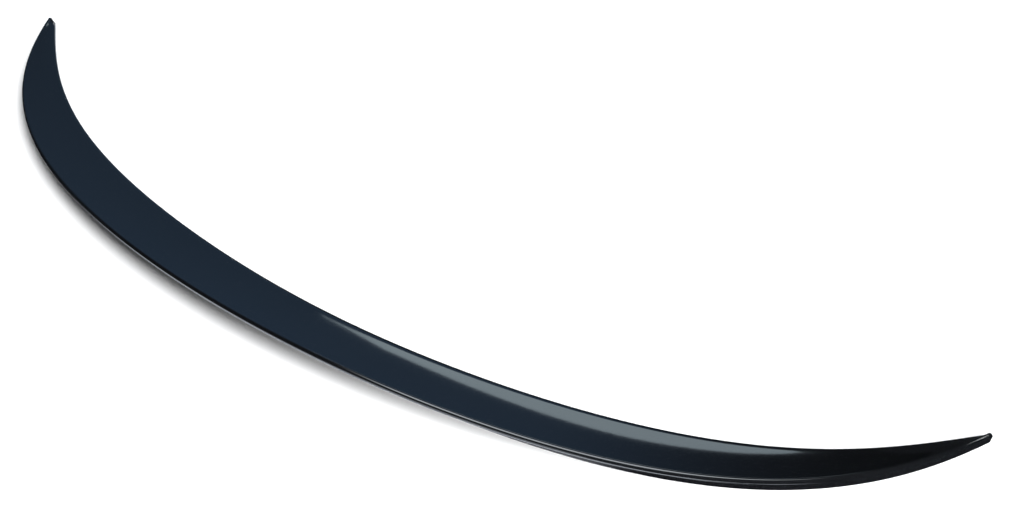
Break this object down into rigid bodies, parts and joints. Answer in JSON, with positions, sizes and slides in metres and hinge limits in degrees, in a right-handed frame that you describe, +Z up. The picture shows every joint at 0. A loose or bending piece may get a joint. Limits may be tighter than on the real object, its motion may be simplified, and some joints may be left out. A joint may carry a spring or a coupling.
{
  "type": "car rear spoiler",
  "caption": "Crescent-shaped boot lid lip spoiler with a raised rear lip, an undercut rear face and a ribbed hollow underside with two flat bonding lands.",
  "frame": {"origin": "middle of the footprint's bounding box, on the plane of the two bonding lands", "axes": "+X across the car towards the right tip, +Y forward towards the windscreen, so the concave front edge and both tips point to +Y, +Z up"},
  "size_m": [1.13, 0.2604, 0.031],
  "materials": {
    "moulding": "high gloss black, clear coated"
  },
  "bodies": {
    "root": {"spoiler": "moulding"}
  },
  "joints": []
}
